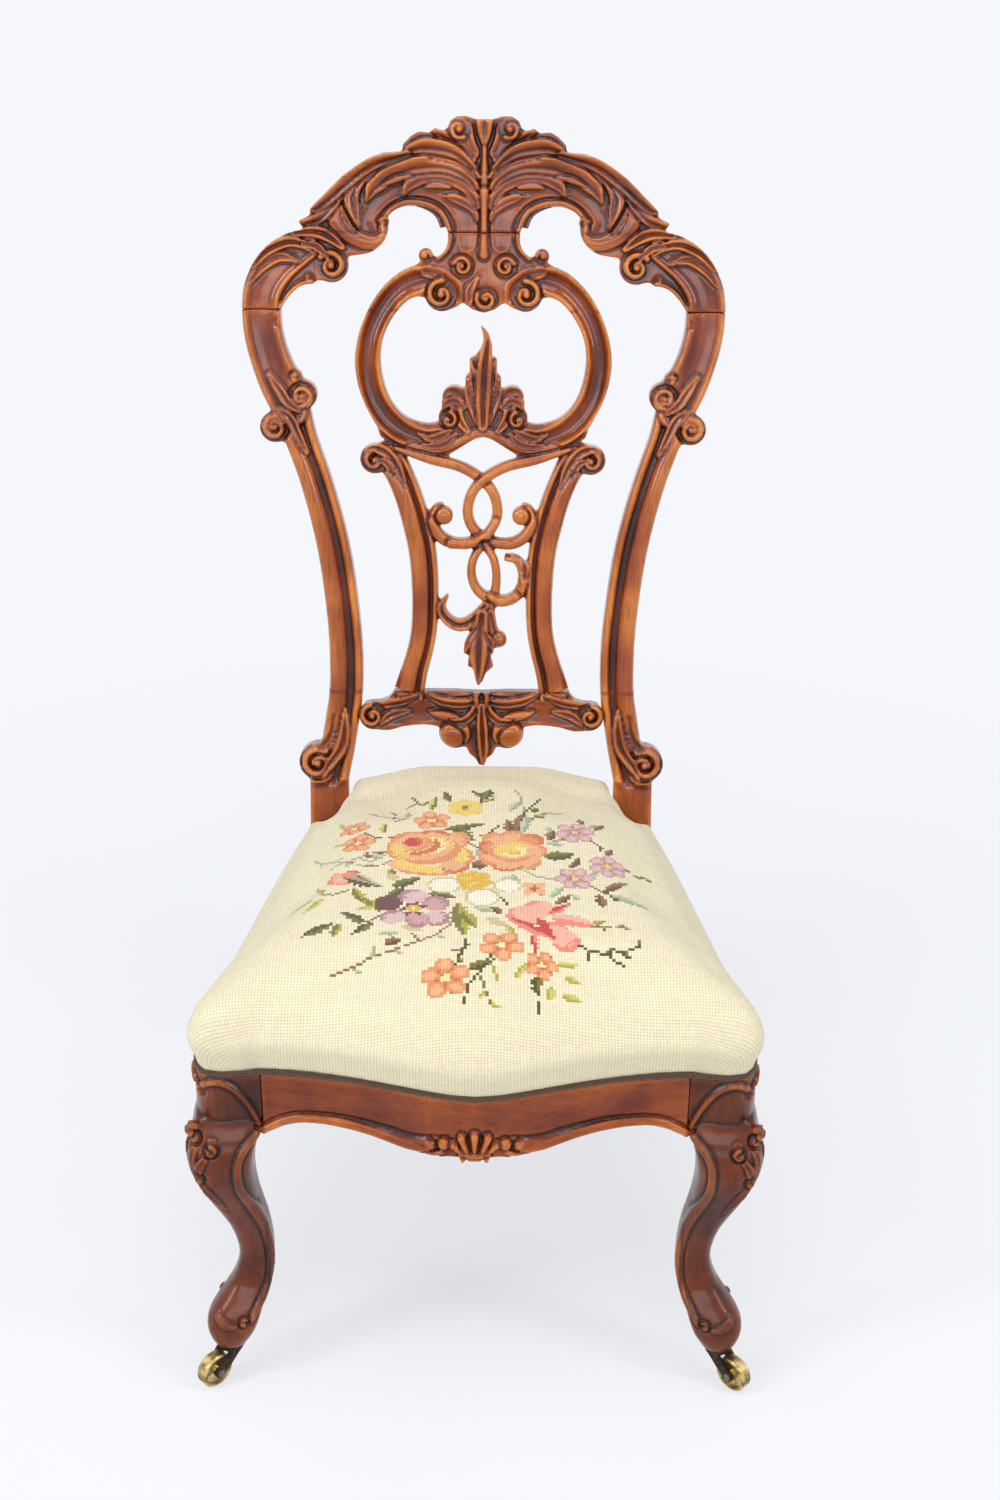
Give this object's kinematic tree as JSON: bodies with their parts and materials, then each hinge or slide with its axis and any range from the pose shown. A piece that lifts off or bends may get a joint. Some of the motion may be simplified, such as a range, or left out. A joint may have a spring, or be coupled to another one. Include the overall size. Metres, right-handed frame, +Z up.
{
  "type": "carved bedroom chair",
  "caption": "Low carved walnut bedroom chair with a pierced scrolling back, a sprung needlepoint seat, cabriole front legs and castors that swivel and roll.",
  "frame": {"origin": "on the floor, under the middle of the chair's bounding box", "axes": "+X to the viewer's right, the chair faces -Y, +Z up"},
  "size_m": [0.4648, 0.5791, 0.9289],
  "materials": {
    "walnut": "French polished, darker in the carving",
    "beech": "plain planed timber",
    "dowel_wood": "plain turned timber",
    "brass": "worn, lightly tarnished",
    "bronzed_iron": "dark patina",
    "steel": "dull drawn wire and screws",
    "jute": "coarse woven jute",
    "horsehair": "teased hair",
    "needlepoint": "wool cross stitch on canvas",
    "gimp": "narrow dark braid"
  },
  "bodies": {
    "root": {"crest_rail": "walnut", "back_splat": "walnut", "lower_back_rail": "walnut", "back_post_left": "walnut", "back_post_right": "walnut", "front_seat_rail": "walnut", "seat_rail_left": "walnut", "seat_rail_right": "walnut", "back_seat_rail": "beech", "front_leg_left": "walnut", "front_leg_right": "walnut", "corner_block_front_left": "beech", "corner_block_front_right": "beech", "corner_block_back_left": "beech", "corner_block_back_right": "beech", "corner_block_screws": "steel", "crest_dowels": "dowel_wood", "splat_dowels": "dowel_wood", "cross_rail_dowels": "dowel_wood", "front_rail_dowels": "dowel_wood", "side_rail_dowels": "dowel_wood", "back_rail_dowels": "dowel_wood", "webbing_lengthwise": "jute", "webbing_crosswise": "jute", "seat_springs": "steel", "spring_hessian": "jute", "seat_stuffing": "horsehair", "seat_cover": "needlepoint", "seat_gimp": "gimp", "castor_screws": "steel", "castor_plate_front_left": "bronzed_iron", "castor_plate_front_right": "bronzed_iron", "castor_plate_back_left": "bronzed_iron", "castor_plate_back_right": "bronzed_iron"},
    "horn_front_left": {"castor_horn_front_left": "bronzed_iron", "castor_axle_front_left": "steel"},
    "wheel_front_left": {"castor_wheel_front_left": "brass"},
    "horn_front_right": {"castor_horn_front_right": "bronzed_iron", "castor_axle_front_right": "steel"},
    "wheel_front_right": {"castor_wheel_front_right": "brass"},
    "horn_back_left": {"castor_horn_back_left": "bronzed_iron", "castor_axle_back_left": "steel"},
    "wheel_back_left": {"castor_wheel_back_left": "brass"},
    "horn_back_right": {"castor_horn_back_right": "bronzed_iron", "castor_axle_back_right": "steel"},
    "wheel_back_right": {"castor_wheel_back_right": "brass"}
  },
  "joints": [
    {"name": "swivel_front_left", "type": "hinge", "parent": "root", "child": "horn_front_left", "pos_m": [-0.203, -0.26215, 0.031], "axis": [0, 0, 1], "continuous": true},
    {"name": "roll_front_left", "type": "hinge", "parent": "horn_front_left", "child": "wheel_front_left", "pos_m": [-0.21644, -0.27558, 0.015], "axis": [-0.7071, 0.7071, 0], "continuous": true},
    {"name": "swivel_front_right", "type": "hinge", "parent": "root", "child": "horn_front_right", "pos_m": [0.203, -0.26215, 0.031], "axis": [0, 0, 1], "continuous": true},
    {"name": "roll_front_right", "type": "hinge", "parent": "horn_front_right", "child": "wheel_front_right", "pos_m": [0.21644, -0.27558, 0.015], "axis": [0.7071, 0.7071, 0], "continuous": true},
    {"name": "swivel_back_left", "type": "hinge", "parent": "root", "child": "horn_back_left", "pos_m": [-0.151, 0.20585, 0.031], "axis": [0, 0, 1], "continuous": true},
    {"name": "roll_back_left", "type": "hinge", "parent": "horn_back_left", "child": "wheel_back_left", "pos_m": [-0.1605, 0.22231, 0.015], "axis": [0.866, 0.5, 0], "continuous": true},
    {"name": "swivel_back_right", "type": "hinge", "parent": "root", "child": "horn_back_right", "pos_m": [0.151, 0.20585, 0.031], "axis": [0, 0, 1], "continuous": true},
    {"name": "roll_back_right", "type": "hinge", "parent": "horn_back_right", "child": "wheel_back_right", "pos_m": [0.1605, 0.22231, 0.015], "axis": [-0.866, 0.5, 0], "continuous": true}
  ]
}
